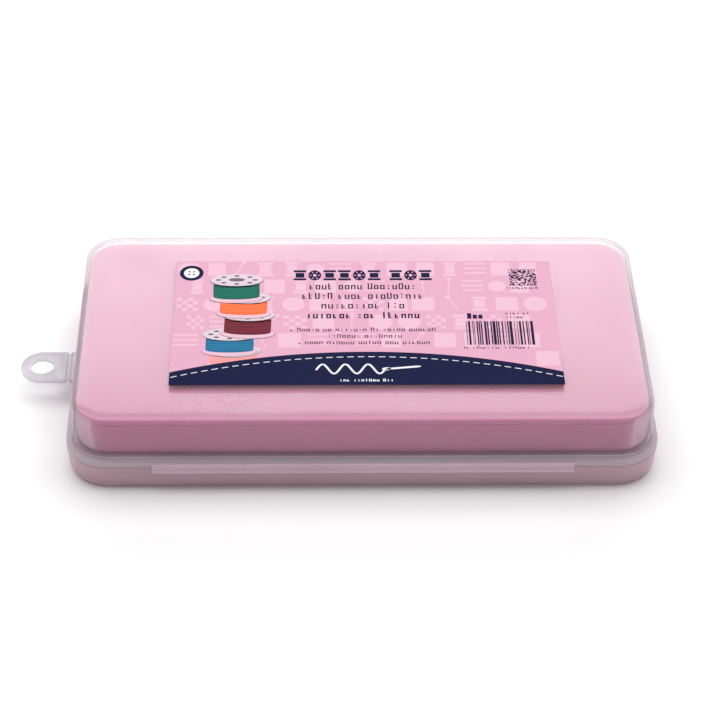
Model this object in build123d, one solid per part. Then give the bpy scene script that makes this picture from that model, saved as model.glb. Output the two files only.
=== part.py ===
from build123d import *
import os

# Bobbin box: a two-part case moulded in one piece of clear polypropylene, with a foam insert.
# The shallow half lies on the table, the deep half lies over it and holds the foam.
# Millimetres. +X is along the case, +Y goes from the hinge to the catch, +Z is up.
# The origin is the centre of the shallow half's underside.

# Case
CASE_LENGTH = 190.0
CASE_WIDTH = 102.0
CASE_HEIGHT = 27.0
CORNER_RADIUS = 13.8
WALL = 1.3
PARTING_HEIGHT = 9.1
PARTING_GAP = 0.1
FLANGE_THICKNESS = 1.75
FLANGE_EDGE_RADIUS = 0.35
TRAY_INSET = 1.85
TRAY_DRAFT = 1.5
TRAY_TOP_RADIUS = 1.8
LID_INSET = 0.25
LID_DRAFT = 1.5
LID_BOTTOM_RADIUS = 2.6
LIP_DEPTH = 1.5
LIP_THICKNESS = 0.9
LIP_CLEARANCE = 0.35

# Hinge along the front edge
HINGE_LENGTH = 134.0
HINGE_BAR_HEIGHT = 0.6
HINGE_BAR_DEPTH = 0.35
HINGE_WEB_THICKNESS = 0.4
HINGE_WEB_HEIGHT = 3.5

# Foam insert
FOAM_LENGTH = 182.2
FOAM_WIDTH = 94.2
FOAM_CORNER_RADIUS = 10.3
FOAM_THICKNESS = 12.0
FOAM_BACKING_THICKNESS = 2.4
FOAM_BACKING_EDGE_RADIUS = 1.0
POCKET_DIAMETER = 20.6
POCKET_COLUMNS = 7
POCKET_ROWS = 4
POCKET_PITCH_X = 25.6
POCKET_PITCH_Y = 23.2

# Paper label on top
LABEL_LENGTH = 126.5
LABEL_WIDTH = 65.8
LABEL_THICKNESS = 0.12
LABEL_CORNER_RADIUS = 0.6
LABEL_OFFSET_X = 1.3
LABEL_OFFSET_Y = 0.9

# Hang tab on the left end
TAB_REACH = 17.8
TAB_WIDTH = 14.9
TAB_THICKNESS = 1.2
TAB_HOLE_DIAMETER = 7.6
TAB_HOLE_FROM_TIP = 6.9
TAB_RIM_WIDTH = 1.1
TAB_RIM_HEIGHT = 0.2
TAB_CREASE_FROM_CASE = 2.1
TAB_CREASE_WIDTH = 1.2
TAB_CREASE_THICKNESS = 0.4
TAB_CREASE_NOTCH = 0.6
TAB_ROOT_CHAMFER = 0.35

# Catch at the middle of the back edge
CATCH_WIDTH = 30.0
CATCH_THICKNESS = 0.9
CATCH_GAP = 0.35
CATCH_BOTTOM = 4.9
CATCH_WEB_HEIGHT = 0.7
CATCH_WEB_THICKNESS = 0.45
CATCH_LUG_HEIGHT = 1.0
CATCH_NOSE_HEIGHT = 1.1
CATCH_NOSE_GAP = 0.1
CATCH_LIP_REACH = 1.0
CATCH_LIP_HEIGHT = 0.9
CATCH_EDGE_RADIUS = 0.25

# Worked out from the sizes above
LID_FLANGE_TOP = PARTING_HEIGHT - PARTING_GAP / 2
LID_FLANGE_BOTTOM = LID_FLANGE_TOP - FLANGE_THICKNESS
TRAY_FLANGE_BOTTOM = PARTING_HEIGHT + PARTING_GAP / 2
TRAY_FLANGE_TOP = TRAY_FLANGE_BOTTOM + FLANGE_THICKNESS
FOAM_BACKING_BOTTOM = CASE_HEIGHT - WALL - FOAM_BACKING_THICKNESS
FOAM_BOTTOM = FOAM_BACKING_BOTTOM - FOAM_THICKNESS
FRONT_FACE = -CASE_WIDTH / 2
BACK_FACE = CASE_WIDTH / 2
LEFT_FACE = -CASE_LENGTH / 2
TAB_TOP = LID_FLANGE_TOP
TAB_MIDDLE_HEIGHT = TAB_TOP - TAB_THICKNESS / 2
CREASE_X = LEFT_FACE - TAB_CREASE_FROM_CASE
CATCH_FACE = BACK_FACE + CATCH_GAP
CATCH_TOP = TRAY_FLANGE_TOP - CATCH_LUG_HEIGHT - CATCH_WEB_HEIGHT


def plan(length, width, radius, height):
    """A rounded rectangle lying flat at a height."""
    return Plane.XY.offset(height) * RectangleRounded(length, width, radius)


def inset_plan(inset, height):
    """The case's outline pulled in by an inset, lying flat at a height."""
    return plan(CASE_LENGTH - 2 * inset, CASE_WIDTH - 2 * inset, CORNER_RADIUS - inset, height)


def slab(outline, thickness):
    """A flat outline given a straight thickness upwards."""
    return extrude(outline, amount=thickness, dir=(0, 0, 1))


def box_between(low, high):
    """A box between two corners."""
    size = [b - a for a, b in zip(low, high)]
    middle = [(a + b) / 2 for a, b in zip(low, high)]
    return Pos(*middle) * Box(*size)


def flange(bottom):
    """The flat rim of one half, with its outer edges eased."""
    rim = slab(inset_plan(0, bottom), FLANGE_THICKNESS)
    ends = rim.edges().group_by(Axis.Z)
    return fillet(ends[0] + ends[-1], FLANGE_EDGE_RADIUS)


def tray_block(inset, bottom, top, edge_radius):
    """The deep half's form: upright, narrowing to a rounded top edge."""
    block = extrude(inset_plan(inset, bottom), amount=top - bottom, taper=TRAY_DRAFT)
    return fillet(block.edges().group_by(Axis.Z)[-1], edge_radius)


def lid_block(inset, top, bottom, edge_radius):
    """The shallow half's form: hanging from the rim, narrowing to a rounded bottom edge."""
    hanging = Plane(origin=(0, 0, top), x_dir=(1, 0, 0), z_dir=(0, 0, -1))
    length = CASE_LENGTH - 2 * inset
    width = CASE_WIDTH - 2 * inset
    outline = hanging * RectangleRounded(length, width, CORNER_RADIUS - inset)
    block = extrude(outline, amount=top - bottom, taper=LID_DRAFT)
    return fillet(block.edges().group_by(Axis.Z)[0], edge_radius)


def hinge_bar(bottom):
    """A bar along the front of a rim, which the hinge web springs from."""
    low = (-HINGE_LENGTH / 2, FRONT_FACE - HINGE_BAR_DEPTH, bottom)
    high = (HINGE_LENGTH / 2, FRONT_FACE + FLANGE_EDGE_RADIUS, bottom + HINGE_BAR_HEIGHT)
    return box_between(low, high)


def make_hinge_web():
    """The thin strap that joins the two bars and bends as the case opens."""
    middle = PARTING_HEIGHT
    outer = FRONT_FACE - HINGE_BAR_DEPTH - HINGE_WEB_THICKNESS
    low = (-HINGE_LENGTH / 2, outer, middle - HINGE_WEB_HEIGHT / 2)
    high = (HINGE_LENGTH / 2, outer + HINGE_WEB_THICKNESS, middle + HINGE_WEB_HEIGHT / 2)
    return box_between(low, high)


def tab_stub():
    """The short root of the hang tab, moulded on the shallow half's rim."""
    stub_end = CREASE_X + TAB_CREASE_WIDTH / 2
    low = (stub_end, -TAB_WIDTH / 2, TAB_TOP - TAB_THICKNESS)
    high = (LEFT_FACE + FLANGE_EDGE_RADIUS, TAB_WIDTH / 2, TAB_TOP)
    stub = box_between(low, high)
    outer_edges = stub.edges().filter_by(Axis.Y).group_by(Axis.X)[0]
    return chamfer(outer_edges, TAB_ROOT_CHAMFER)


def make_lid_shell():
    """The shallow half: a hollow tray with its rim, the tab's root and the lower hinge bar."""
    outside = lid_block(LID_INSET, LID_FLANGE_TOP, 0, LID_BOTTOM_RADIUS)
    inner_radius = LID_BOTTOM_RADIUS - WALL
    inside = lid_block(LID_INSET + WALL, LID_FLANGE_TOP, WALL, inner_radius)
    shell = outside + flange(LID_FLANGE_BOTTOM) + tab_stub()
    shell += hinge_bar(PARTING_HEIGHT - HINGE_WEB_HEIGHT / 2)
    return shell - inside


def catch_lug():
    """The block on the deep half's rim that the catch hangs from."""
    low = (-CATCH_WIDTH / 2, BACK_FACE - FLANGE_EDGE_RADIUS, TRAY_FLANGE_TOP - CATCH_LUG_HEIGHT)
    high = (CATCH_WIDTH / 2, CATCH_FACE + CATCH_THICKNESS, TRAY_FLANGE_TOP)
    return box_between(low, high)


def tray_lip():
    """The thin lip under the deep half's rim, which drops inside the shallow half."""
    lid_wall_inside = LID_INSET + WALL
    outer = lid_wall_inside + LIP_CLEARANCE
    bottom = PARTING_HEIGHT - LIP_DEPTH
    height = TRAY_FLANGE_TOP - bottom
    ring = slab(inset_plan(outer, bottom), height)
    ring -= slab(inset_plan(outer + LIP_THICKNESS, bottom), height)
    return ring


def make_tray_shell():
    """The deep half: a hollow box with its rim, lip, upper hinge bar and catch lug."""
    outside = tray_block(TRAY_INSET, TRAY_FLANGE_BOTTOM, CASE_HEIGHT, TRAY_TOP_RADIUS)
    inner_radius = TRAY_TOP_RADIUS - WALL
    inside = tray_block(TRAY_INSET + WALL, TRAY_FLANGE_BOTTOM, CASE_HEIGHT - WALL, inner_radius)
    shell = outside + flange(TRAY_FLANGE_BOTTOM) + catch_lug()
    shell += hinge_bar(PARTING_HEIGHT + HINGE_WEB_HEIGHT / 2 - HINGE_BAR_HEIGHT)
    shell -= inside
    return shell + tray_lip()


def make_foam_block():
    """The thick foam layer, punched right through with a pocket for each bobbin."""
    block = slab(plan(FOAM_LENGTH, FOAM_WIDTH, FOAM_CORNER_RADIUS, FOAM_BOTTOM), FOAM_THICKNESS)
    middle = FOAM_BOTTOM + FOAM_THICKNESS / 2
    pocket = Pos(0, 0, middle) * Cylinder(POCKET_DIAMETER / 2, 2 * FOAM_THICKNESS)
    grid = GridLocations(POCKET_PITCH_X, POCKET_PITCH_Y, POCKET_COLUMNS, POCKET_ROWS)
    return block - [place * pocket for place in grid]


def make_foam_backing():
    """The thin plain foam sheet glued over the pockets, which closes their far ends."""
    outline = plan(FOAM_LENGTH, FOAM_WIDTH, FOAM_CORNER_RADIUS, FOAM_BACKING_BOTTOM)
    sheet = slab(outline, FOAM_BACKING_THICKNESS)
    return fillet(sheet.edges().group_by(Axis.Z)[-1], FOAM_BACKING_EDGE_RADIUS)


def make_label():
    """The printed paper label stuck on the outside of the deep half."""
    outline = plan(LABEL_LENGTH, LABEL_WIDTH, LABEL_CORNER_RADIUS, CASE_HEIGHT)
    return slab(Pos(LABEL_OFFSET_X, LABEL_OFFSET_Y, 0) * outline, LABEL_THICKNESS)


def tab_outline(margin):
    """The hang tab from above: straight sides and a half-round end, pulled in by a margin."""
    root_x = CREASE_X - TAB_CREASE_WIDTH / 2 - margin
    round_x = LEFT_FACE - TAB_REACH + TAB_WIDTH / 2
    half_width = TAB_WIDTH / 2 - margin
    straight = Pos((root_x + round_x) / 2, 0) * Rectangle(root_x - round_x, 2 * half_width)
    return straight + Pos(round_x, 0) * Circle(half_width)


def make_hang_tab():
    """The folding tab with its hook hole and a fine raised border."""
    plate_height = TAB_THICKNESS - TAB_RIM_HEIGHT
    plate = slab(Pos(0, 0, TAB_TOP - TAB_THICKNESS) * tab_outline(0), plate_height)
    root_edges = plate.edges().filter_by(Axis.Y).group_by(Axis.X)[-1]
    plate = chamfer(root_edges, TAB_ROOT_CHAMFER)
    border = tab_outline(TAB_ROOT_CHAMFER) - tab_outline(TAB_RIM_WIDTH)
    tab = plate + slab(Pos(0, 0, TAB_TOP - TAB_RIM_HEIGHT) * border, TAB_RIM_HEIGHT)
    hole_x = LEFT_FACE - TAB_REACH + TAB_HOLE_FROM_TIP
    return tab - Pos(hole_x, 0, TAB_MIDDLE_HEIGHT) * Cylinder(TAB_HOLE_DIAMETER / 2, 2 * TAB_THICKNESS)


def make_tab_crease():
    """The thinned line that the hang tab folds along."""
    half_width = TAB_WIDTH / 2 - TAB_CREASE_NOTCH
    half_thickness = TAB_CREASE_THICKNESS / 2
    low = (CREASE_X - TAB_CREASE_WIDTH / 2, -half_width, TAB_MIDDLE_HEIGHT - half_thickness)
    high = (CREASE_X + TAB_CREASE_WIDTH / 2, half_width, TAB_MIDDLE_HEIGHT + half_thickness)
    return box_between(low, high)


def make_catch_tongue():
    """The springy tongue that hangs over both rims, with its nose and its thumb lip."""
    inner = CATCH_FACE
    outer = CATCH_FACE + CATCH_THICKNESS
    nose_y = BACK_FACE + CATCH_NOSE_GAP
    nose_top = LID_FLANGE_BOTTOM - CATCH_NOSE_GAP
    nose_bottom = nose_top - CATCH_NOSE_HEIGHT
    lip_top = CATCH_BOTTOM + CATCH_LIP_HEIGHT
    profile = Polyline(
        (inner, CATCH_TOP),
        (inner, nose_top),
        (nose_y, nose_top),
        (inner, nose_bottom),
        (inner, CATCH_BOTTOM),
        (outer + CATCH_LIP_REACH, CATCH_BOTTOM),
        (outer + CATCH_LIP_REACH, CATCH_BOTTOM + CATCH_LIP_HEIGHT / 2),
        (outer, lip_top + CATCH_LIP_REACH / 2),
        (outer, CATCH_TOP),
        close=True,
    )
    side = Plane(origin=(-CATCH_WIDTH / 2, 0, 0), x_dir=(0, 1, 0), z_dir=(1, 0, 0))
    tongue = extrude(side * make_face(profile), amount=CATCH_WIDTH, dir=(1, 0, 0))
    tip = tongue.edges().filter_by(Axis.X).group_by(Axis.Y)[-1]
    return fillet(tip, CATCH_EDGE_RADIUS / 2)


def make_catch_web():
    """The thin web between the lug and the tongue, where the catch bends."""
    middle = CATCH_FACE + CATCH_THICKNESS / 2
    low = (-CATCH_WIDTH / 2, middle - CATCH_WEB_THICKNESS / 2, CATCH_TOP)
    high = (CATCH_WIDTH / 2, middle + CATCH_WEB_THICKNESS / 2, TRAY_FLANGE_TOP - CATCH_LUG_HEIGHT)
    return box_between(low, high)


PARTS = {
    "lid_shell": make_lid_shell,
    "tray_shell": make_tray_shell,
    "hinge_web": make_hinge_web,
    "foam_block": make_foam_block,
    "foam_backing": make_foam_backing,
    "label": make_label,
    "hang_tab": make_hang_tab,
    "tab_crease": make_tab_crease,
    "catch_tongue": make_catch_tongue,
    "catch_web": make_catch_web,
}

os.makedirs("parts", exist_ok=True)
for node, make in PARTS.items():
    solid = make()
    export_step(solid, f"parts/{node}.step")
    print(node, round(solid.volume, 1))
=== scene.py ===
import math
import random

import bpy
from mathutils import Matrix, Vector


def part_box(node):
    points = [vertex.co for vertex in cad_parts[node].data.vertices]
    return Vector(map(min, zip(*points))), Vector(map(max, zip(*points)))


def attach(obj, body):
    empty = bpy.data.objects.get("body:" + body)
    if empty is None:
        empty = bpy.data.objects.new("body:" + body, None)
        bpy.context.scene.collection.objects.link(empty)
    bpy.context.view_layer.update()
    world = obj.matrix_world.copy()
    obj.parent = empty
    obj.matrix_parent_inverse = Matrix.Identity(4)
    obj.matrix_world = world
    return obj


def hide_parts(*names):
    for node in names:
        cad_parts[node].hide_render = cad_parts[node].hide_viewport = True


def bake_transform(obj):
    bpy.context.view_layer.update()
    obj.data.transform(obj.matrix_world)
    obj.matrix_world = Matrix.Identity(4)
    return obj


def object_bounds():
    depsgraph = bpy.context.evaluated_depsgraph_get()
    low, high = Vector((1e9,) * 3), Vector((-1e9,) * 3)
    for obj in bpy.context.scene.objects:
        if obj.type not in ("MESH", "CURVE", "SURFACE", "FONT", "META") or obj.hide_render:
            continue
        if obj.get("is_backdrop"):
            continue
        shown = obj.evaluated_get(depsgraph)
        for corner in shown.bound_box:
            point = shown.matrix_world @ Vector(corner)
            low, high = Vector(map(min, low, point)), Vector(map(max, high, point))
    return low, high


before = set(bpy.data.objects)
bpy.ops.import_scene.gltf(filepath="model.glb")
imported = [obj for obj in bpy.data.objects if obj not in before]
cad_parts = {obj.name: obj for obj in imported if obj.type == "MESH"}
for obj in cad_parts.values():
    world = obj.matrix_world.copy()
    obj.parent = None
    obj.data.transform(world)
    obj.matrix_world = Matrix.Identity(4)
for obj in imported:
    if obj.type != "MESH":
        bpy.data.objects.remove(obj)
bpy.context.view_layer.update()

# Bobbin box: a clear moulded case with a living hinge, a foam insert and a printed paper label.
# Blender works in metres; sizes here are given in millimetres and turned with MM.
MM = 0.001
SMOOTH_ANGLE = math.radians(32)

# Wall sizes of the moulding; insets are measured inwards from the case's outline
WALL = 1.3 * MM
RIM_INSET_TRAY = 1.85 * MM
RIM_INSET_LID = 0.25 * MM
RIM_ROUND = 0.3 * MM
RIM_ROUND_UNDER = 0.2 * MM
RIM_THICKNESS = 1.75 * MM
LIP_INSET = 1.9 * MM
LIP_THICKNESS = 0.9 * MM
LIP_DROP = 1.55 * MM
LIP_EASE_IN = 0.15 * MM
LIP_EASE_RISE = 0.2 * MM
FOOT_ROUND = 0.5 * MM
TRAY_DRAFT = math.radians(1.5)
LID_DRAFT = math.radians(1.5)
TRAY_TOP_ROUND = 1.8 * MM
LID_BASE_ROUND = 2.6 * MM
BEAD_HEIGHT = 4.1 * MM
BEAD_STEP = 0.14 * MM
CORNER_ROUND = 13.8 * MM
CORNER_SEGMENTS = 20
# An inset past each large fillet keeps the shading of the flat face clean
FLAT_INSET = 4 * MM
# How deep rails, lugs and roots sink into the rim that carries them
SINK = 0.3 * MM
CASE_WIDTH = 102.0 * MM

# Where each piece lies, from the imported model
tray_low, tray_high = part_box("tray_shell")
lid_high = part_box("lid_shell")[1]
label_low, label_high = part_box("label")
foam_low, foam_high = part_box("foam_block")
backing_low, backing_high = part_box("foam_backing")
strap_low, strap_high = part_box("hinge_web")
tab_low, tab_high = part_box("hang_tab")
crease_low, crease_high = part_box("tab_crease")
catch_low, catch_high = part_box("catch_tongue")
catch_web_low, catch_web_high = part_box("catch_web")
CASE_LENGTH = tray_high.x - tray_low.x
CASE_TOP = tray_high.z
TRAY_RIM_BOTTOM = tray_low.z + LIP_DROP
TRAY_RIM_TOP = TRAY_RIM_BOTTOM + RIM_THICKNESS
# How far above the rim the painted light band reaches up the wall
LIT_BAND_ABOVE_RIM = 1.3 * MM
HAZE_FADE = 0.3 * MM
LID_RIM_TOP = lid_high.z
LID_RIM_BOTTOM = LID_RIM_TOP - RIM_THICKNESS
LABEL_CENTRE = (label_low + label_high) / 2


# ---------------------------------------------------------------- modelling helpers

def start_afresh():
    """Leaves edit mode with nothing selected, so that the next operator touches only its own piece."""
    if bpy.context.object and bpy.context.object.mode != "OBJECT":
        bpy.ops.object.mode_set(mode="OBJECT")
    bpy.ops.object.select_all(action="DESELECT")


def pick_up(piece):
    """Makes one piece the only selected and active one."""
    start_afresh()
    piece.select_set(True)
    bpy.context.view_layer.objects.active = piece


def block(name, low, high):
    """A box between two corners, as a new piece whose object sits at the origin."""
    start_afresh()
    low, high = Vector(low), Vector(high)
    bpy.ops.mesh.primitive_cube_add(size=1, location=(low + high) / 2)
    piece = bpy.context.object
    piece.name = name
    piece.scale = high - low
    settle(piece)
    return piece


def settle(piece):
    """Puts a piece's place, turn and size into its mesh."""
    pick_up(piece)
    bpy.ops.object.transform_apply(location=True, rotation=True, scale=True)


def choose(piece, kind, test):
    """Opens a piece for editing with only the faces or edges selected that pass the test."""
    pick_up(piece)
    bpy.ops.object.mode_set(mode="EDIT")
    bpy.ops.mesh.select_mode(type=kind)
    bpy.ops.mesh.select_all(action="DESELECT")
    bpy.ops.object.mode_set(mode="OBJECT")
    mesh = piece.data
    if kind == "FACE":
        for face in mesh.polygons:
            face.select = test(face.center, face.normal)
    else:
        for edge in mesh.edges:
            a, b = (mesh.vertices[v].co for v in edge.vertices)
            edge.select = test(a, b)
    bpy.ops.object.mode_set(mode="EDIT")


def upright(a, b):
    """True for an edge that stands straight up."""
    return abs(a.x - b.x) < 1e-7 and abs(a.y - b.y) < 1e-7


def round_upright_edges(piece, radius, segments, test=upright):
    """Rounds the chosen upright edges of a block, which gives its plan round corners."""
    choose(piece, "EDGE", lambda a, b: upright(a, b) and test(a, b))
    bpy.ops.mesh.bevel(offset=radius, segments=segments, affect="EDGES")
    bpy.ops.object.mode_set(mode="OBJECT")


def rounding(radius, steps):
    """Steps of (inset, rise) that carry a face round a quarter circle, from upright to flat."""
    angles = [math.pi / 2 * i / steps for i in range(steps + 1)]
    pairs = zip(angles, angles[1:])
    return [(radius * (math.cos(a) - math.cos(b)), radius * (math.sin(b) - math.sin(a))) for a, b in pairs]


def foot(radius, steps):
    """Steps of (inset, rise) that carry a face round a hollow quarter circle, from flat to upright."""
    angles = [math.pi / 2 * i / steps for i in range(steps + 1)]
    pairs = zip(angles, angles[1:])
    return [(radius * (math.sin(b) - math.sin(a)), radius * (math.cos(a) - math.cos(b))) for a, b in pairs]


def wall(rise, draft):
    """One step up a wall that leans in by its draft."""
    return [(rise * math.tan(draft), rise)]


def down(steps):
    """The same steps, but sinking into the piece."""
    return [(inset, -rise) for inset, rise in steps]


def carry(piece, test, steps):
    """Insets the chosen face again and again, moving it by each step's rise, to draw out a profile."""
    choose(piece, "FACE", test)
    for inset, rise in steps:
        bpy.ops.mesh.inset(thickness=inset, depth=rise, use_even_offset=True)
    bpy.ops.object.mode_set(mode="OBJECT")


def cut_across(piece, places, direction):
    """Cuts rings of edges right round a piece, square to a direction, so that it can bend there."""
    choose(piece, "FACE", lambda centre, normal: True)
    for place in places:
        bpy.ops.mesh.select_all(action="SELECT")
        bpy.ops.mesh.bisect(plane_co=place, plane_no=direction)
    bpy.ops.object.mode_set(mode="OBJECT")


def even_places(low, high, steps):
    """The places that split a span into equal steps, with its two ends left out."""
    return [low + (high - low) * i / steps for i in range(1, steps)]


def cut_away(piece, punch, name):
    """Cuts one piece's shape out of another and throws the punch away."""
    settle(punch)
    cut = piece.modifiers.new(name, "BOOLEAN")
    cut.operation = "DIFFERENCE"
    cut.object = punch
    pick_up(piece)
    bpy.ops.object.modifier_apply(modifier=cut.name)
    bpy.data.objects.remove(punch)


def soften(piece, width, segments=2, angle=math.radians(40)):
    """Rounds every sharp edge a little, as a mould or a die does."""
    bevel = piece.modifiers.new("soft_edges", "BEVEL")
    bevel.width = width
    bevel.segments = segments
    bevel.limit_method = "ANGLE"
    bevel.angle_limit = angle
    pick_up(piece)
    bpy.ops.object.modifier_apply(modifier=bevel.name)


def finish_piece(piece, material, slot, body=None, *replaced):
    """Shades a piece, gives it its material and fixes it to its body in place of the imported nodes."""
    pick_up(piece)
    bpy.ops.object.shade_smooth_by_angle(angle=SMOOTH_ANGLE)
    piece.data.materials.clear()
    piece.data.materials.append(material)
    if body:
        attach(piece, body)
    if replaced:
        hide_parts(*replaced)
    return piece


# ---------------------------------------------------------------- material helpers

def linear(hex_colour):
    """An sRGB hex colour as the linear colour that Blender's sockets take."""
    channels = [int(hex_colour[i:i + 2], 16) / 255 for i in (1, 3, 5)]
    return tuple(c / 12.92 if c <= 0.04045 else ((c + 0.055) / 1.055) ** 2.4 for c in channels) + (1.0,)


def add(tree, kind, settings=None, links=None):
    """Adds a node, sets its properties and sockets, and links its sockets from other outputs."""
    made = tree.nodes.new(kind)
    for key, value in (settings or {}).items():
        if isinstance(key, str) and key not in made.inputs:
            setattr(made, key, value)
        else:
            made.inputs[key].default_value = value
    for key, source in (links or {}).items():
        tree.links.new(source, made.inputs[key])
    return made


def new_material(name):
    """An empty node material and its tree."""
    material = bpy.data.materials.new(name)
    material.use_nodes = True
    material.node_tree.nodes.clear()
    return material, material.node_tree


def moulded_polypropylene(name, haze, edge_haze, tint, lit_band_top=0.0, lit_band_haze=0.0):
    """Clear random-copolymer polypropylene, injection moulded and polished on the mould side. It is
    milky rather than glass clear: it veils what is behind it, more so where it is seen edge on, it
    glows a little where light comes through from behind, and its thin skin mirrors softly. From the
    rim up to a given height the veil is thickened by a given amount, as a painted light band."""
    material, tree = new_material(name)
    place = add(tree, "ShaderNodeTexCoord").outputs["Object"]
    # Flow marks: slow waves in the veil, about 25 mm across
    flow = add(tree, "ShaderNodeTexNoise", {"Scale": 1 / (25 * MM), "Detail": 0.0}, {"Vector": place})
    # Mould texture: a faint orange peel with bumps of about 0.8 mm
    peel = add(tree, "ShaderNodeTexNoise", {"Scale": 1 / (0.8 * MM), "Detail": 1.0}, {"Vector": place})
    bump = add(tree, "ShaderNodeBump", {"Strength": 0.05, "Distance": 0.05 * MM},
               {"Height": peel.outputs["Fac"]})
    facing = add(tree, "ShaderNodeLayerWeight", {"Blend": 0.35})
    edge = add(tree, "ShaderNodeMapRange",
               {"From Min": 0.25, "From Max": 0.95, "To Min": haze, "To Max": edge_haze},
               {"Value": facing.outputs["Facing"]})
    height = add(tree, "ShaderNodeSeparateXYZ", None, {"Vector": place}).outputs["Z"]
    # Painted light band: from the rim up to the given height the veil is thickened, so the foot of the
    # wall is drawn lighter
    thick = add(tree, "ShaderNodeMapRange",
                {"From Min": lit_band_top, "From Max": lit_band_top + HAZE_FADE, "To Min": lit_band_haze, "To Max": 0.0},
                {"Value": height})
    deeper = add(tree, "ShaderNodeMath", {"operation": "ADD"},
                 {0: edge.outputs["Result"], 1: thick.outputs["Result"]})
    waves = add(tree, "ShaderNodeMapRange",
                {"From Min": 0.0, "From Max": 1.0, "To Min": 0.88, "To Max": 1.12},
                {"Value": flow.outputs["Fac"]})
    veil = add(tree, "ShaderNodeMath", {"operation": "MULTIPLY", "use_clamp": True},
               {0: deeper.outputs[0], 1: waves.outputs["Result"]})
    near_side = add(tree, "ShaderNodeBsdfDiffuse", {"Color": linear(tint)},
                    {"Normal": bump.outputs["Normal"]})
    far_side = add(tree, "ShaderNodeBsdfTranslucent", {"Color": linear(tint)})
    body = add(tree, "ShaderNodeMixShader", {0: 0.4}, {1: near_side.outputs[0], 2: far_side.outputs[0]})
    clear = add(tree, "ShaderNodeBsdfTransparent", {"Color": (0.925, 0.921, 0.925, 1.0)})
    milky = add(tree, "ShaderNodeMixShader", None,
                {0: veil.outputs[0], 1: clear.outputs[0], 2: body.outputs[0]})
    skin_rough = add(tree, "ShaderNodeMapRange",
                     {"From Min": 0.0, "From Max": 1.0, "To Min": 0.16, "To Max": 0.24},
                     {"Value": flow.outputs["Fac"]})
    skin = add(tree, "ShaderNodeBsdfGlossy", {"Color": (1, 1, 1, 1)},
               {"Normal": bump.outputs["Normal"], "Roughness": skin_rough.outputs["Result"]})
    mirror = add(tree, "ShaderNodeFresnel", {"IOR": 1.32}, {"Normal": bump.outputs["Normal"]})
    held_back = add(tree, "ShaderNodeMath", {"operation": "MINIMUM", 1: 0.28}, {0: mirror.outputs[0]})
    both = add(tree, "ShaderNodeMixShader", None,
               {0: held_back.outputs[0], 1: milky.outputs[0], 2: skin.outputs[0]})
    add(tree, "ShaderNodeOutputMaterial", None, {"Surface": both.outputs[0]})
    return material


def closed_cell_foam(name, colour, shade):
    """Pink cross-linked polyethylene foam, skived to thickness and die cut. Its closed cells leave a
    fine matt grain with tiny pits, drawn darker as painted shade, and the colour drifts a little from cell
    to cell."""
    material, tree = new_material(name)
    place = add(tree, "ShaderNodeTexCoord").outputs["Object"]
    # Cells of about 0.35 mm, drawn at twice their size so that they show
    cells = add(tree, "ShaderNodeTexVoronoi", {"Scale": 1 / (0.7 * MM)}, {"Vector": place})
    drift = add(tree, "ShaderNodeTexNoise", {"Scale": 1 / (9 * MM), "Detail": 3.0}, {"Vector": place})
    tone = add(tree, "ShaderNodeMapRange",
               {"From Min": 0.2, "From Max": 0.8, "To Min": 0.0, "To Max": 0.45},
               {"Value": drift.outputs["Fac"]})
    # Painted shade: the pits at the cell centres are drawn darker, towards the second colour
    pit_painted_shade = add(tree, "ShaderNodeMapRange",
              {"From Min": 0.0, "From Max": 0.55, "To Min": 0.3, "To Max": 0.0},
              {"Value": cells.outputs["Distance"]})
    total = add(tree, "ShaderNodeMath", {"operation": "ADD", "use_clamp": True},
                {0: tone.outputs["Result"], 1: pit_painted_shade.outputs["Result"]})
    mixed = add(tree, "ShaderNodeMix", {"data_type": "RGBA", 6: linear(colour), 7: linear(shade)},
                {0: total.outputs[0]})
    bump = add(tree, "ShaderNodeBump", {"Strength": 0.35, "Distance": 0.12 * MM},
               {"Height": cells.outputs["Distance"]})
    rough = add(tree, "ShaderNodeMapRange",
                {"From Min": 0.0, "From Max": 0.6, "To Min": 0.78, "To Max": 0.92},
                {"Value": cells.outputs["Distance"]})
    foam = add(tree, "ShaderNodeBsdfPrincipled",
               {"IOR": 1.45, "Sheen Weight": 0.25, "Sheen Roughness": 0.6},
               {"Base Color": mixed.outputs[2], "Roughness": rough.outputs["Result"],
                "Normal": bump.outputs["Normal"]})
    add(tree, "ShaderNodeOutputMaterial", None, {"Surface": foam.outputs[0]})
    return material


def printed_ink(name, colour, second):
    """Offset ink on coated sticker paper, under a thin satin varnish. A fine screen of dots breaks up
    its colour, and the paper's own tooth shows in the gloss."""
    material, tree = new_material(name)
    place = add(tree, "ShaderNodeTexCoord").outputs["Object"]
    # A real screen is 0.15 mm and too fine to show; this one is 0.5 mm
    screen = add(tree, "ShaderNodeTexVoronoi", {"Scale": 1 / (0.5 * MM), "Randomness": 0.35},
                 {"Vector": place})
    mottle = add(tree, "ShaderNodeTexNoise", {"Scale": 1 / (3 * MM), "Detail": 4.0}, {"Vector": place})
    cover = add(tree, "ShaderNodeMath", {"operation": "MULTIPLY", "use_clamp": True},
                {0: screen.outputs["Distance"], 1: mottle.outputs["Fac"]})
    mixed = add(tree, "ShaderNodeMix", {"data_type": "RGBA", 6: linear(colour), 7: linear(second)},
                {0: cover.outputs[0]})
    rough = add(tree, "ShaderNodeMapRange",
                {"From Min": 0.3, "From Max": 0.7, "To Min": 0.38, "To Max": 0.5},
                {"Value": mottle.outputs["Fac"]})
    ink = add(tree, "ShaderNodeBsdfPrincipled", {"IOR": 1.5, "Specular IOR Level": 0.05},
              {"Base Color": mixed.outputs[2], "Roughness": rough.outputs["Result"]})
    add(tree, "ShaderNodeOutputMaterial", None, {"Surface": ink.outputs[0]})
    return material


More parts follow.
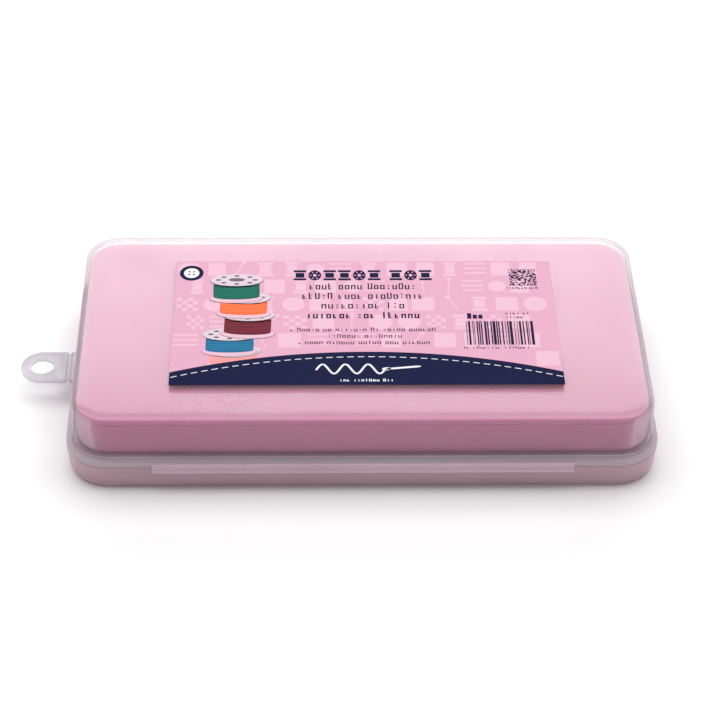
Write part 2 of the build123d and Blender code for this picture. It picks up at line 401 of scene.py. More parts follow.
# The tray's plastic: its tint is greyer and darker than the lid's, as painted shade on its walls, and it
# carries the painted light band just above its rim
CLEAR_PP = moulded_polypropylene("clear_polypropylene_moulded", 0.10, 0.38, "#E2D3DD",
                                 TRAY_RIM_TOP + LIT_BAND_ABOVE_RIM, 0.95)
# The lid is the same plastic, drawn milkier, lighter and pinker than the tray's, as painted light for the
# foam's pink bounce and the light coming through the case
LID_PP_PAINTED_LIGHT = moulded_polypropylene("lid_polypropylene_painted_light", 0.66, 0.88, "#F5D5E1")
# The tab is the same plastic, painted greyer and darker, as painted shade on the low-lit tab
TAB_PP_PAINTED_SHADE = moulded_polypropylene("tab_polypropylene_painted_shade", 0.38, 0.7, "#C6BECA")
# The thin webs are the same plastic, painted lighter and pinker, as painted light where the hinge strip
# catches the light
WEB_PP_PAINTED_LIGHT = moulded_polypropylene("web_polypropylene_painted_light", 0.85, 0.95, "#FDE6F2")
FOAM = closed_cell_foam("pink_polyethylene_foam", "#EE8FB8", "#E07FAA")
LABEL_INK = printed_ink("rose_printed_sticker_paper", "#DDA9BF", "#DA9EB7")


# ---------------------------------------------------------------- the case

def rim_block(name, bottom, under_round, top_round):
    """The straight middle of one rim, with the case's round corners in plan."""
    low = (-CASE_LENGTH / 2, -CASE_WIDTH / 2, bottom + under_round)
    high = (CASE_LENGTH / 2, CASE_WIDTH / 2, bottom + RIM_THICKNESS - top_round)
    rim = block(name, low, high)
    round_upright_edges(rim, CORNER_ROUND, CORNER_SEGMENTS)
    return rim


def is_top(centre, normal):
    """True for the face that looks straight up."""
    return normal.z > 0.9


def is_under(centre, normal):
    """True for the face that looks straight down."""
    return normal.z < -0.9


def make_tray():
    """The deep half, drawn out of its rim: walls and top above, lip and hollow below."""
    tray = rim_block("tray_moulding", TRAY_RIM_BOTTOM, RIM_ROUND_UNDER, RIM_ROUND)
    side_rise = CASE_TOP - TRAY_TOP_ROUND - TRAY_RIM_TOP - FOOT_ROUND
    outside = rounding(RIM_ROUND, 4)
    outside += [(RIM_INSET_TRAY - RIM_ROUND - FOOT_ROUND, 0)]
    outside += foot(FOOT_ROUND, 4) + wall(side_rise, TRAY_DRAFT) + rounding(TRAY_TOP_ROUND, 10)
    outside += [(FLAT_INSET, 0)]
    carry(tray, is_top, outside)
    inner_round = TRAY_TOP_ROUND - WALL
    hollow_rise = CASE_TOP - WALL - inner_round - TRAY_RIM_TOP
    inside = rounding(RIM_ROUND_UNDER, 3)
    inside += [(LIP_INSET - RIM_ROUND_UNDER, 0), (0, LIP_DROP - LIP_EASE_RISE)]
    inside += [(LIP_EASE_IN, LIP_EASE_RISE), (LIP_THICKNESS - LIP_EASE_IN, 0)]
    inside += [(0, -(LIP_DROP + RIM_THICKNESS))]
    inside += [(RIM_INSET_TRAY + WALL - LIP_INSET - LIP_THICKNESS, 0)]
    inside += down(wall(hollow_rise, TRAY_DRAFT) + rounding(inner_round, 4))
    inside += [(FLAT_INSET, 0)]
    carry(tray, is_under, inside)
    return finish_piece(tray, CLEAR_PP, "clear_polypropylene", "tray", "tray_shell")


def make_lid():
    """The shallow half, drawn out of its rim: walls and base below, hollow above."""
    lid = rim_block("lid_moulding", LID_RIM_BOTTOM, RIM_ROUND_UNDER, RIM_ROUND_UNDER)
    outside = rounding(RIM_ROUND_UNDER, 3) + [(RIM_INSET_LID - RIM_ROUND_UNDER, 0)]
    outside += wall(LID_RIM_BOTTOM - BEAD_HEIGHT, LID_DRAFT) + [(BEAD_STEP, BEAD_STEP / 2)]
    outside += wall(BEAD_HEIGHT - BEAD_STEP / 2 - LID_BASE_ROUND, LID_DRAFT) + rounding(LID_BASE_ROUND, 10)
    outside += [(FLAT_INSET, 0)]
    carry(lid, is_under, outside)
    inner_round = LID_BASE_ROUND - WALL
    inside = rounding(RIM_ROUND_UNDER, 3)
    inside += [(RIM_INSET_LID + WALL - RIM_ROUND_UNDER, 0)]
    inside += down(wall(LID_RIM_TOP - WALL - inner_round, LID_DRAFT) + rounding(inner_round, 6))
    inside += [(FLAT_INSET, 0)]
    carry(lid, is_top, inside)
    return finish_piece(lid, LID_PP_PAINTED_LIGHT, "clear_polypropylene", "lid", "lid_shell")


make_tray()
make_lid()


# ---------------------------------------------------------------- the foam insert

FOAM_CORNER_ROUND = 10.3 * MM
FOAM_SEGMENTS = 14
POCKET_RADIUS = 10.3 * MM
POCKET_COLUMNS = 7
POCKET_ROWS = 4
POCKET_PITCH_X = 25.6 * MM
POCKET_PITCH_Y = 23.2 * MM
POCKET_SEGMENTS = 48
SEAM_ROUND = 0.5 * MM
FOAM_UNDER_ROUND = 0.4 * MM
FOAM_TOP_ROUND = 0.9 * MM
CEILING_GAP = 0.05 * MM
CROWN_WIDTH = 6.0 * MM
CROWN_DROP = 0.7 * MM


def crown(width, drop, steps):
    """Steps of (inset, rise) up a shallow parabola, as soft foam falls away towards its edge."""
    heights = [drop * (1 - (1 - i / steps) ** 2) for i in range(steps + 1)]
    return [(width / steps, b - a) for a, b in zip(heights, heights[1:])]


def foam_slab(name, low, high, under_round, top_round, drop=0.0):
    """A die-cut foam layer with round corners, eased edges and, where drop is given, a crowned top."""
    slab = block(name, low + Vector((0, 0, under_round)), high - Vector((0, 0, top_round + drop)))
    round_upright_edges(slab, FOAM_CORNER_ROUND, FOAM_SEGMENTS)
    edge = rounding(top_round, 5)
    if drop:
        edge += crown(CROWN_WIDTH, drop, 8)
    carry(slab, is_top, edge)
    carry(slab, is_under, rounding(under_round, 4))
    return slab


def punch_pockets(slab, low, high):
    """Cuts the rows of round pockets right through a layer."""
    start_afresh()
    middle = (low + high) / 2
    depth = 2 * (high.z - low.z)
    cutters = []
    for row in range(POCKET_ROWS):
        for column in range(POCKET_COLUMNS):
            x = middle.x + (column - (POCKET_COLUMNS - 1) / 2) * POCKET_PITCH_X
            y = middle.y + (row - (POCKET_ROWS - 1) / 2) * POCKET_PITCH_Y
            bpy.ops.mesh.primitive_cylinder_add(
                vertices=POCKET_SEGMENTS, radius=POCKET_RADIUS, depth=depth, location=(x, y, middle.z))
            cutters.append(bpy.context.object)
    for cutter in cutters:
        cutter.select_set(True)
    bpy.ops.object.join()
    cut_away(slab, bpy.context.object, "pockets")


def make_foam():
    """The pocket layer and the plain layer glued over it."""
    pockets = foam_slab("foam_pocket_layer", foam_low, foam_high, FOAM_UNDER_ROUND, SEAM_ROUND)
    punch_pockets(pockets, foam_low, foam_high)
    finish_piece(pockets, FOAM, "pink_foam", "tray", "foam_block")
    # A hair of room under the moulding keeps the two faces from sharing a plane
    ceiling = backing_high - Vector((0, 0, CEILING_GAP))
    backing = foam_slab("foam_backing_layer", backing_low, ceiling, SEAM_ROUND, FOAM_TOP_ROUND, CROWN_DROP)
    finish_piece(backing, FOAM, "pink_foam", "tray", "foam_backing")


make_foam()


# ---------------------------------------------------------------- hinge, hang tab and catch

RAIL_MARGIN = 0.15 * MM
STRAP_END = 3.5 * MM
BEND_REACH = 0.45 * MM
CREASE_DEPTH = 0.12 * MM
HOLE_RADIUS = 3.8 * MM
HOLE_FROM_TIP = 6.9 * MM
FOLD_OVERLAP = 0.1 * MM
TONGUE_GAP = 0.35 * MM
TONGUE_LIP = 0.9 * MM
NOSE_GAP = 0.1 * MM
NOSE_HEIGHT = 0.55 * MM


def make_hinge():
    """The rails on the two rims and the thin strap between them, which creases as the case opens."""
    rails = (("hinge_rail_lower", "lid", LID_RIM_BOTTOM), ("hinge_rail_upper", "tray", TRAY_RIM_BOTTOM))
    for name, body, bottom in rails:
        low = (strap_low.x, strap_high.y, bottom + RAIL_MARGIN)
        high = (strap_high.x, -CASE_WIDTH / 2 + SINK, bottom + RIM_THICKNESS - RAIL_MARGIN)
        rail = block(name, low, high)
        soften(rail, 0.1 * MM)
        finish_piece(rail, CLEAR_PP, "clear_polypropylene", body)
    strap = block("hinge_strap", strap_low, strap_high)
    middle = (strap_low.z + strap_high.z) / 2
    heights = [middle + BEND_REACH * (i / 4 - 1) for i in range(9)]
    cut_across(strap, [(0, 0, z) for z in heights], (0, 0, 1))
    ends = [strap_low.x + STRAP_END, strap_high.x - STRAP_END]
    cut_across(strap, [(x, 0, 0) for x in ends], (1, 0, 0))
    # The crease is pressed in from the outside, along the strap's middle
    choose(strap, "FACE", lambda c, n: n.y < -0.9 and abs(c.z - middle) < BEND_REACH / 2)
    bpy.ops.transform.translate(value=(0, CREASE_DEPTH, 0))
    bpy.ops.object.mode_set(mode="OBJECT")
    finish_piece(strap, WEB_PP_PAINTED_LIGHT, "polypropylene_web", None, "hinge_web")
    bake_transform(strap)


def make_hang_tab():
    """The hang tab: a stadium plate with a raised border and a hook hole, its root and its crease."""
    width = tab_high.y - tab_low.y
    rim_width = 1.1 * MM
    rim_height = 0.2 * MM
    tab = block("hang_tab_plate", tab_low, tab_high)
    tip_round = width / 2 - 0.3 * MM
    round_upright_edges(tab, tip_round, 18, lambda a, b: a.x < tab_low.x + MM)
    carry(tab, is_top, [(rim_width, 0), (0.15 * MM, -rim_height)])
    start_afresh()
    hole = (tab_low.x + HOLE_FROM_TIP, 0, tab_low.z)
    bpy.ops.mesh.primitive_cylinder_add(vertices=48, radius=HOLE_RADIUS, depth=6 * MM, location=hole)
    cut_away(tab, bpy.context.object, "hook_hole")
    soften(tab, 0.12 * MM)
    finish_piece(tab, TAB_PP_PAINTED_SHADE, "clear_polypropylene", "hang_tab", "hang_tab")
    root_low = (crease_high.x, tab_low.y, tab_low.z)
    root_high = (-CASE_LENGTH / 2 + SINK, tab_high.y, tab_high.z)
    root = block("hang_tab_root", root_low, root_high)
    soften(root, 0.25 * MM)
    finish_piece(root, TAB_PP_PAINTED_SHADE, "clear_polypropylene", "lid")
    overlap = Vector((FOLD_OVERLAP, 0, 0))
    crease = block("hang_tab_fold", crease_low - overlap, crease_high + overlap)
    cut_across(crease, [(x, 0, 0) for x in even_places(crease_low.x, crease_high.x, 8)], (1, 0, 0))
    finish_piece(crease, TAB_PP_PAINTED_SHADE, "polypropylene_web", None, "tab_crease")
    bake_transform(crease)


def make_catch():
    """The catch: a lug on the deep half's rim, a thin web, and the tongue with its nose and lip."""
    back = CASE_WIDTH / 2
    lug_low = (catch_low.x, back - SINK, catch_web_high.z)
    lug = block("catch_lug", lug_low, (catch_high.x, tray_high.y, TRAY_RIM_TOP))
    soften(lug, 0.15 * MM)
    finish_piece(lug, CLEAR_PP, "clear_polypropylene", "tray")
    inner = back + TONGUE_GAP
    outer = tray_high.y
    tongue_low = (catch_low.x, inner, catch_low.z)
    tongue = block("catch_tongue_plate", tongue_low, (catch_high.x, outer, catch_web_low.z))
    nose_top = LID_RIM_BOTTOM - NOSE_GAP
    nose_foot = nose_top - NOSE_HEIGHT
    lip_top = catch_low.z + TONGUE_LIP
    cut_across(tongue, [(0, 0, z) for z in (lip_top, nose_foot, nose_top)], (0, 0, 1))
    choose(tongue, "FACE", lambda c, n: n.y > 0.9 and c.z < lip_top)
    bpy.ops.mesh.extrude_region_move(TRANSFORM_OT_translate={"value": (0, catch_high.y - outer, 0)})
    choose(tongue, "FACE", lambda c, n: n.y < -0.9 and nose_foot < c.z < nose_top)
    bpy.ops.mesh.extrude_region_move(TRANSFORM_OT_translate={"value": (0, catch_low.y - inner, 0)})
    bpy.ops.object.mode_set(mode="OBJECT")
    soften(tongue, 0.12 * MM)
    finish_piece(tongue, CLEAR_PP, "clear_polypropylene", "catch", "catch_tongue")
    overlap = Vector((0, 0, FOLD_OVERLAP))
    web = block("catch_bend", catch_web_low - overlap, catch_web_high + overlap)
    cut_across(web, [(0, 0, z) for z in even_places(catch_web_low.z, catch_web_high.z, 6)], (0, 0, 1))
    finish_piece(web, WEB_PP_PAINTED_LIGHT, "polypropylene_web", None, "catch_web")
    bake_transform(web)


make_hinge()
make_hang_tab()
make_catch()


# ---------------------------------------------------------------- the printed label
# Prints are given in millimetres from the label's centre, +X right and +Y up the label.

INK_THICKNESS = 0.004 * MM
DISC_SIDES = 28
LABEL_TOP = label_high.z
LABEL_HALF_LENGTH = (label_high.x - label_low.x) / 2 / MM
ARCH_RADIUS = 199.4
ARCH_PEAK = -16.5
ARCH_SIDES = 720
draw = random.Random(28)


def make_label():
    """The sticker itself, a thin sheet with just-rounded corners."""
    sticker = block("label_sticker", label_low, label_high)
    round_upright_edges(sticker, 0.6 * MM, 4)
    finish_piece(sticker, LABEL_INK, "printed_paper", "tray", "label")


def bar(x, y, width, height, turn=0.0):
    """A printed rectangle about its centre."""
    return ("bar", x, y, width, height, turn)


def disc(x, y, radius_x, radius_y, turn=0.0):
    """A printed ellipse about its centre."""
    return ("disc", x, y, 2 * radius_x, 2 * radius_y, turn)


def thicken_ink():
    """Draws the flat faces being edited up to the ink's thickness, closed all round."""
    bpy.ops.mesh.select_all(action="SELECT")
    bpy.ops.mesh.extrude_region_move(TRANSFORM_OT_translate={"value": (0, 0, INK_THICKNESS)})
    bpy.ops.mesh.select_all(action="SELECT")
    bpy.ops.mesh.normals_make_consistent(inside=False)
    bpy.ops.object.mode_set(mode="OBJECT")


def print_marks(name, marks, ink, layer):
    """Lays flat marks on the label as one piece of ink, a hair thick, on its own layer."""
    start_afresh()
    base = LABEL_TOP + layer * INK_THICKNESS
    bpy.ops.mesh.primitive_plane_add(size=MM)
    piece = bpy.context.object
    piece.name = name
    bpy.ops.object.mode_set(mode="EDIT")
    bpy.ops.mesh.select_all(action="SELECT")
    bpy.ops.mesh.delete(type="VERT")
    for i, (kind, x, y, width, height, turn) in enumerate(marks):
        # Marks that overlap their neighbour lie a hair above it, so no two faces share a plane
        level = base + (i % 2) * INK_THICKNESS / 4
        place = (LABEL_CENTRE.x + x * MM, LABEL_CENTRE.y + y * MM, level)
        if kind == "bar":
            bpy.ops.mesh.primitive_plane_add(size=MM, location=place)
        else:
            bpy.ops.mesh.primitive_circle_add(
                vertices=DISC_SIDES, radius=0.5 * MM, fill_type="NGON", location=place)
        bpy.ops.transform.resize(value=(width, height, 1), center_override=place)
        if turn:
            # Without a window this operator turns the other way
            bpy.ops.transform.rotate(value=-turn, orient_axis="Z", center_override=place)
    thicken_ink()
    return finish_piece(piece, ink, "printed_paper", "tray")


def print_arch(name, radius, ink, layer):
    """The printed band along the label's foot: a great disc cut off at the label's edges."""
    start_afresh()
    base = LABEL_TOP + layer * INK_THICKNESS
    centre = Vector((LABEL_CENTRE.x, LABEL_CENTRE.y + (ARCH_PEAK - ARCH_RADIUS) * MM, base))
    bpy.ops.mesh.primitive_circle_add(
        vertices=ARCH_SIDES, radius=radius * MM, fill_type="NGON", location=centre)
    band = bpy.context.object
    band.name = name
    settle(band)
    edges = ((label_low, (-1, 0, 0)), (label_high, (1, 0, 0)), (label_low, (0, -1, 0)))
    bpy.ops.object.mode_set(mode="EDIT")
    for corner, outward in edges:
        bpy.ops.mesh.select_all(action="SELECT")
        bpy.ops.mesh.bisect(plane_co=corner, plane_no=outward, clear_outer=True)
    thicken_ink()
    return finish_piece(band, ink, "printed_paper", "tray")


def arch_height(x, radius):
    """How high the arch stands at x."""
    return ARCH_PEAK - ARCH_RADIUS + math.sqrt(radius ** 2 - x ** 2)


def stitch_marks():
    """White running stitches that follow the arch, just inside it."""
    radius = ARCH_RADIUS - 2.2
    pitch = 3.4 / radius
    count = 38
    marks = []
    for i in range(count):
        angle = (i - (count - 1) / 2) * pitch
        x = radius * math.sin(angle)
        if abs(x) < LABEL_HALF_LENGTH - 0.8:
            marks.append(bar(x, arch_height(x, radius), 2.1, 0.32, -angle))
    return marks


# Signs take this share of their pitch, small ones this share of the line's height, and the gap
# between two groups is this share of a pitch
SIGN_FILL = 0.74
SMALL_SIGN = 0.72
WORD_GAP = 0.7


def sign_marks(x, y, width, height, stroke):
    """One made-up sign from x rightwards, about the height y: posts, caps and feet that never touch."""
    left, middle, right = x + stroke / 2, x + width / 2, x + width - stroke / 2
    span = width - 2 * stroke
    cap = bar(middle, y + (height - stroke) / 2, span, stroke)
    sole = bar(middle, y - (height - stroke) / 2, span, stroke)
    posts = [bar(left, y, stroke, height), bar(right, y, stroke, height)]
    kind = draw.choice(["box", "arch", "cup", "post", "dots", "steps"])
    if kind == "box":
        return posts + [cap, sole]
    if kind == "arch":
        return posts + [cap]
    if kind == "cup":
        return posts + [sole]
    if kind == "post":
        return [bar(middle, y, stroke, height)]
    if kind == "dots":
        return [bar(middle, y + side * height * 0.28, stroke * 1.5, stroke) for side in (1, -1)]
    return [bar(left, y, stroke, height), sole, bar(middle, y, span * 0.7, stroke)]


def writing(left, right, y, height, words, stroke):
    """A line of made-up signs from left to right, in groups that stand for words."""
    signs = sum(words) + (len(words) - 1) * WORD_GAP
    pitch = (right - left) / signs
    x = left
    marks = []
    for length in words:
        for _ in range(length):
            tall = height * draw.choice([SMALL_SIGN, SMALL_SIGN, SMALL_SIGN, 1.0])
            marks += sign_marks(x, y + (tall - SMALL_SIGN * height) / 2, pitch * SIGN_FILL, tall, stroke)
            x += pitch
        x += WORD_GAP * pitch
    return marks


HEADING_HEIGHT = 5.6
HEADING_Y = 25.0
HEADING_PITCH = 5.0


def heading_places():
    """Where the heading's pictures stand: a group of six, then a group of three."""
    first = [-21.4 + i * HEADING_PITCH for i in range(6)]
    second = [10.9 + i * HEADING_PITCH for i in range(3)]
    return first + second


def heading_marks():
    """The bold heading, as small pictures of bobbins: side views, with every third one seen end on."""
    marks = []
    half = HEADING_HEIGHT / 2
    for i, x in enumerate(heading_places()):
        if i % 3 == 1:
            marks.append(disc(x, HEADING_Y, 2.15, half))
        else:
            marks.append(bar(x, HEADING_Y + half - 0.55, 4.2, 1.1))
            marks.append(bar(x, HEADING_Y, 2.9, HEADING_HEIGHT - 3.0))
            marks.append(bar(x, HEADING_Y - half + 0.55, 4.2, 1.1))
    return marks


def heading_holes():
    """The holes in the heading's end-on bobbins."""
    marks = []
    for x in heading_places()[1::3]:
        marks.append(disc(x, HEADING_Y, 0.62, 0.78))
        for i in range(6):
            angle = math.tau * i / 6
            marks.append(disc(x + 1.4 * math.cos(angle), HEADING_Y + 1.85 * math.sin(angle), 0.26, 0.33))
    return marks


MAIN_LINES = (
    # left, right, height on the label, height of the signs, groups, stroke
    (-18.2, 17.9, 18.4, 3.3, (4, 4, 8), 0.46),
    (-20.6, 20.3, 13.2, 3.3, (5, 4, 9), 0.46),
    (-14.3, 13.8, 8.0, 3.3, (9, 3), 0.46),
    (-19.3, 18.6, 2.7, 3.3, (7, 3, 6), 0.55),
    (-22.3, 23.4, -4.7, 1.9, (5, 2, 7, 2, 5, 6), 0.3),
    (-12.4, 12.3, -8.0, 1.9, (7, 8), 0.3),
    (-19.8, 21.3, -11.4, 1.9, (4, 6, 5, 3, 6), 0.3),
)
BESIDE_CODE_LINES = (
    (33.8, 39.4, 2.3, 2.9, (3,), 0.7),
    (46.6, 54.8, 4.0, 1.2, (4, 2), 0.26),
    (46.6, 52.4, 1.9, 1.2, (5,), 0.26),
    (47.9, 58.6, 17.7, 1.1, (7, 3), 0.26),
    (32.0, 54.0, -14.0, 1.4, (1, 6, 6), 0.26),
)
BULLETS = ((-24.3, -4.9), (-21.6, -11.6))


def text_marks():
    """The lines under the heading, their two bullets, and the small lines round the two codes."""
    marks = []
    for line in MAIN_LINES:
        marks += writing(*line)
    marks += [bar(x, y, 0.6, 0.6) for x, y in BULLETS]
    for line in BESIDE_CODE_LINES:
        marks += writing(*line)
    return marks


BAR_CODE_LEFT = 33.2
BAR_CODE_RIGHT = 54.6


def bar_code_marks():
    """A made-up bar code: bars of one to four units, with the odd gap, that encode nothing."""
    marks = []
    x = BAR_CODE_LEFT
    unit = 0.23
    while x < BAR_CODE_RIGHT:
        width = unit * draw.choice([1, 1, 2, 2, 3, 4])
        marks.append(bar(x + width / 2, -6.3, width, 12.4))
        x += width + unit * draw.choice([1, 1, 2, 3])
    return marks


def block_code_marks():
    """A made-up square of dark cells that encodes nothing."""
    size = 9.1
    cells = 21
    cell = size / cells
    left = 53.7 - size / 2
    top = 23.7 + size / 2
    marks = []
    for row in range(cells):
        start = None
        for column in range(cells + 1):
            dark = column < cells and draw.random() < 0.52
            if dark and start is None:
                start = column
            if not dark and start is not None:
                width = (column - start) * cell
                marks.append(bar(left + start * cell + width / 2, top - (row + 0.5) * cell, width, cell))
                start = None
    return marks


def button_marks(x, y, radius):
    """The four holes of a sewing button."""
    reach = radius * 0.26
    hole = radius * 0.13
    return [disc(x + i * reach, y + j * reach, hole, hole) for i in (-1, 1) for j in (-1, 1)]


def needle_and_thread_marks():
    """A white needle with a thread that runs in even waves behind it."""
    marks = []
    strokes = 60
    left, reach = -16.0, 22.0
    level, swing = -24.9, 2.3
    for i in range(strokes):
        t = i / (strokes - 1)
        phase = t * math.tau * 3
        slope = swing * math.tau * 3 / reach * math.cos(phase)
        length = reach / strokes * math.hypot(1, slope) + 0.35
        marks.append(bar(left + reach * t, level + swing * math.sin(phase), length, 0.7, math.atan(slope)))
    tilt = 0.12
    marks.append(bar(10.9, -24.4, 10.4, 0.85, tilt))
    marks.append(disc(16.0, -23.8, 1.6, 0.42, tilt))
    marks.append(disc(6.4, -24.9, 1.5, 0.75, tilt))
    return marks


def motif_marks():
    """Pale sewing motifs scattered in rows: buttons, reels, tape, pins and squares of dotted cloth."""
    marks = []
    for row in range(6):
        y = 28.4 - row * 9.6
        x = -LABEL_HALF_LENGTH + 4.5 + (row % 2) * 3.0
        while x < LABEL_HALF_LENGTH - 4.0:
            kind = draw.choice(["button", "reel", "tape", "pin", "cloth", "cloth", "weave"])
            span = draw.uniform(6.0, 8.2)
            if y - 4.4 > arch_height(x, ARCH_RADIUS + 0.6):
                marks += one_motif(kind, x, y, span)
            x += span + draw.uniform(1.0, 2.2)
    return marks


def one_motif(kind, x, y, span):
    """One pale motif of about that span."""
    half = span / 2
    if kind == "button":
        return [disc(x, y, half, half)]
    if kind == "reel":
        ends = [bar(x, y + side * 3.2, span * 0.7, 1.3) for side in (1, -1)]
        return ends + [bar(x, y, span * 0.5, 4.4)]
    if kind == "tape":
        return [bar(x, y + rise, span, 0.9) for rise in (3.0, 0.4, -2.2)]
    if kind == "pin":
        turn = draw.uniform(-0.6, 0.6)
        head = disc(x - 4.2 * math.sin(turn), y + 4.2 * math.cos(turn), 0.9, 0.9)
        return [bar(x, y, 0.5, 7.4, turn), head]
    if kind == "cloth":
        return [bar(x, y, span * 0.92, 7.4)]
    tiles = [(i, j) for i in range(4) for j in range(4) if (i + j) % 2]
    return [bar(x + (i - 1.5) * half * 0.48, y + (j - 1.5) * 1.8, half * 0.46, 1.75) for i, j in tiles]


def thread_marks(x, y, width, height, turn):
    """The wound thread between two flanges: a body with a bowed foot and head."""
    bow = height * 0.16
    up = Vector((-math.sin(turn), math.cos(turn)))
    marks = [bar(x, y, width, height - 2 * bow, turn)]
    for side in (-1, 1):
        middle = Vector((x, y)) + up * side * (height / 2 - bow)
        marks.append(disc(middle.x, middle.y, width / 2, bow, turn))
    return marks


def winding_marks(x, y, width, height, turn):
    """Fine lighter turns of thread across the body."""
    up = Vector((-math.sin(turn), math.cos(turn)))
    marks = []
    turns = 5
    for i in range(turns):
        level = (i + 0.5) / turns - 0.5
        middle = Vector((x, y)) + up * level * height * 0.7
        marks.append(bar(middle.x, middle.y, width * 0.96, 0.28, turn))
    return marks


BOBBINS = (
    # name, centre x, centre y, width, height, turn, thread, lighter thread
    ("salmon", -43.0, -19.6, 15.2, 6.2, 0.02, "#F58E8C", "#FBAFA6"),
    ("blue", -44.3, -12.1, 15.6, 8.4, 0.0, "#145C86", "#3F8FB4"),
    ("maroon", -38.6, -2.4, 15.4, 9.6, -0.03, "#5B2430", "#93303F"),
    ("orange", -40.1, 7.5, 15.6, 8.4, -0.02, "#F8643A", "#FF8A58"),
    ("green", -42.6, 16.4, 15.4, 9.6, 0.02, "#12584B", "#2C8270"),
)


def make_bobbin_picture():
    """The printed stack of clear bobbins, each wound with its own colour."""
    flange_ink = printed_ink("pale_grey_picture_ink", "#D3C3CD", "#E6DAE2")
    clear_ink = printed_ink("see_through_picture_ink", "#DFB4C6", "#EBC9D7")
    line_ink = printed_ink("grey_picture_ink", "#6E5A68", "#8A7683")
    layer = 4
    for name, x, y, width, height, turn, thread, lighter in BOBBINS:
        thread_ink = printed_ink(name + "_thread_ink", thread, lighter)
        lighter_ink = printed_ink(name + "_highlight_ink", lighter, thread)
        top = y + height / 2
        bottom = y - height / 2
        low_edge = [disc(x, bottom + 0.6, width * 0.585, 2.7, turn)]
        low_flange = [disc(x, bottom + 0.7, width * 0.575, 2.55, turn)]
        thread_body = thread_marks(x, y, width, height, turn)
        winding = winding_marks(x, y, width, height, turn)
        top_edge = [disc(x, top + 0.9, width * 0.58, 3.4, turn)]
        top_flange = [disc(x, top + 1.1, width * 0.575, 3.3, turn)]
        print_marks("print_flange_low_edge_" + name, low_edge, line_ink, layer - 1)
        print_marks("print_flange_low_" + name, low_flange, clear_ink, layer)
        print_marks("print_thread_" + name, thread_body, thread_ink, layer + 1)
        print_marks("print_winding_" + name, winding, lighter_ink, layer + 2)
        print_marks("print_flange_edge_" + name, top_edge, line_ink, layer + 3)
        print_marks("print_flange_top_" + name, top_flange, flange_ink, layer + 4)
        holes = [disc(x + width * 0.4 * math.cos(a), top + 1.1 + 2.2 * math.sin(a), 0.9, 0.45)
                 for a in (math.tau * i / 8 for i in range(8))]
        holes.append(disc(x, top + 1.2, 2.7, 0.95))
        print_marks("print_flange_holes_" + name, holes, line_ink, layer + 5)
        layer += 7
    return layer


def make_prints():
    """Everything printed on the label, lowest layer first."""
    navy = printed_ink("navy_offset_ink", "#0C1239", "#121A44")
    plum = printed_ink("plum_offset_ink", "#32123C", "#3C1946")
    white = printed_ink("white_opaque_ink", "#F4F1F6", "#E9E4EE")
    pale = printed_ink("pale_rose_tint_ink", "#E5BBCB", "#E3B3C6")
    dark = printed_ink("dark_violet_text_ink", "#20123A", "#2A1B45")
    rose = printed_ink("rose_tint_ink", "#DDA9BF", "#DA9EB7")
    print_marks("print_motifs", motif_marks(), pale, 0)
    top_layer = make_bobbin_picture()
    print_arch("print_band_edge", ARCH_RADIUS + 0.35, plum, top_layer)
    print_arch("print_band", ARCH_RADIUS, navy, top_layer + 1)
    print_marks("print_stitches", stitch_marks(), white, top_layer + 2)
    print_marks("print_needle_and_thread", needle_and_thread_marks(), white, top_layer + 2)
    foot_line = writing(-8.8, 8.8, -30.7, 1.3, (3, 7, 3), 0.3)
    print_marks("print_foot_line", foot_line, white, top_layer + 2)
    print_marks("print_heading", heading_marks(), navy, 1)
    print_marks("print_heading_holes", heading_holes(), rose, 2)
    print_marks("print_text", text_marks(), dark, 1)
    print_marks("print_bar_code", bar_code_marks(), dark, 1)
    print_marks("print_block_code", block_code_marks(), dark, 1)
    badge_x, badge_y = -57.9, 26.3
    print_marks("print_badge", [disc(badge_x, badge_y, 4.0, 4.2)], navy, 1)
    print_marks("print_badge_button", [disc(badge_x, badge_y, 2.6, 2.7)], white, 2)
    print_marks("print_badge_holes", button_marks(badge_x, badge_y, 2.9), navy, 3)


make_label()
make_prints()


# ---------------------------------------------------------------- floor, light and camera

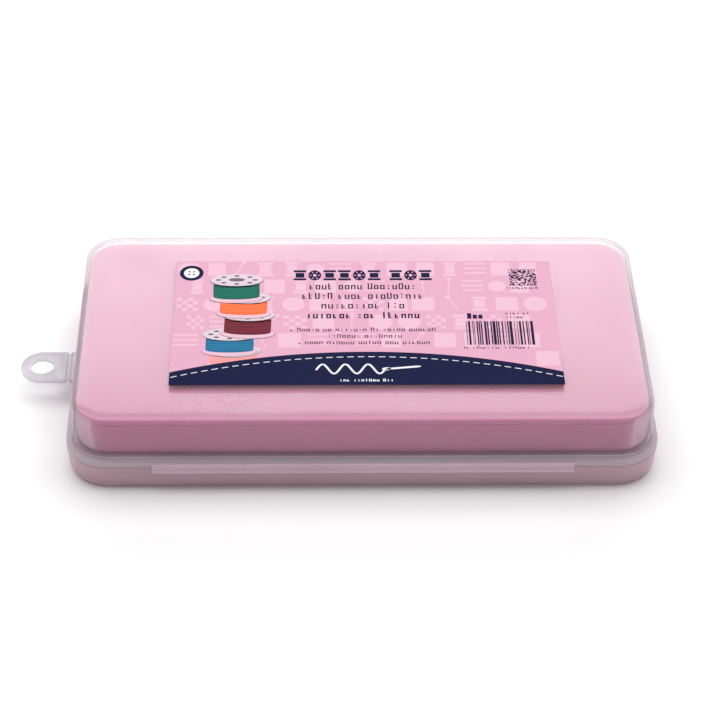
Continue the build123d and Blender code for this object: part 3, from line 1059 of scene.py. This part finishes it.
def make_floor(height):
    """A plain white table top, far larger than the view, at a height."""
    start_afresh()
    bpy.ops.mesh.primitive_plane_add(size=6.0, location=(0, 0, height))
    floor = bpy.context.object
    floor.name = "floor"
    material, tree = new_material("white_laminate_table")
    paper = add(tree, "ShaderNodeBsdfDiffuse", {"Color": (0.95, 0.95, 0.95, 1)})
    add(tree, "ShaderNodeOutputMaterial", None, {"Surface": paper.outputs[0]})
    floor.data.materials.append(material)
    floor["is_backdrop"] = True


def soft_box(name, place, target, size, power):
    """A rectangular studio lamp aimed at a point."""
    lamp = bpy.data.lights.new(name, "AREA")
    lamp.shape = "RECTANGLE"
    lamp.size, lamp.size_y = size
    lamp.energy = power
    stand = bpy.data.objects.new(name, lamp)
    stand.location = place
    stand.rotation_euler = (Vector(target) - Vector(place)).to_track_quat("-Z", "Y").to_euler()
    bpy.context.scene.collection.objects.link(stand)


def make_light():
    """A wide lamp overhead, a second one behind, and a dim surround so that the front stays in shade."""
    soft_box("top_lamp", (0, 0.25, 1.1), (0, 0.1, 0), (1.9, 1.0), 15.5)
    soft_box("back_lamp", (0, 1.95, 1.17), (0, 0, 0), (2.4, 0.8), 14.0)
    world = bpy.data.worlds.new("dim_surround")
    world.use_nodes = True
    world.node_tree.nodes["Background"].inputs["Color"].default_value = (1, 1, 1, 1)
    world.node_tree.nodes["Background"].inputs["Strength"].default_value = 0.30
    bpy.context.scene.world = world
    bpy.context.scene.view_settings.view_transform = "Standard"


CAMERA_ELEVATION = math.radians(39.21)
CAMERA_TURN = math.radians(1.786)
CAMERA_ROLL = math.radians(0.996)
CAMERA_DISTANCE = 0.798
CAMERA_TARGET = Vector((0, 0, 12 * MM))
LENS = 119.63


def make_camera():
    """A long lens from the front and above, turned and rolled very slightly."""
    forward = Vector((math.sin(CAMERA_TURN) * math.cos(CAMERA_ELEVATION),
                      math.cos(CAMERA_TURN) * math.cos(CAMERA_ELEVATION),
                      -math.sin(CAMERA_ELEVATION)))
    level = Vector((math.cos(CAMERA_TURN), -math.sin(CAMERA_TURN), 0))
    up = level.cross(forward)
    right = level * math.cos(CAMERA_ROLL) + up * math.sin(CAMERA_ROLL)
    up = right.cross(forward)
    lens = bpy.data.cameras.new("camera")
    lens.lens = LENS
    lens.clip_start = 0.01
    camera = bpy.data.objects.new("camera", lens)
    axes = Matrix((right, up, -forward)).transposed()
    camera.matrix_world = Matrix.Translation(CAMERA_TARGET - forward * CAMERA_DISTANCE) @ axes.to_4x4()
    bpy.context.scene.collection.objects.link(camera)
    bpy.context.scene.camera = camera


# The table carries the closed case; the half that swings over dips below it at its limit
make_floor(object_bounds()[0].z)
make_light()
make_camera()

start_afresh()
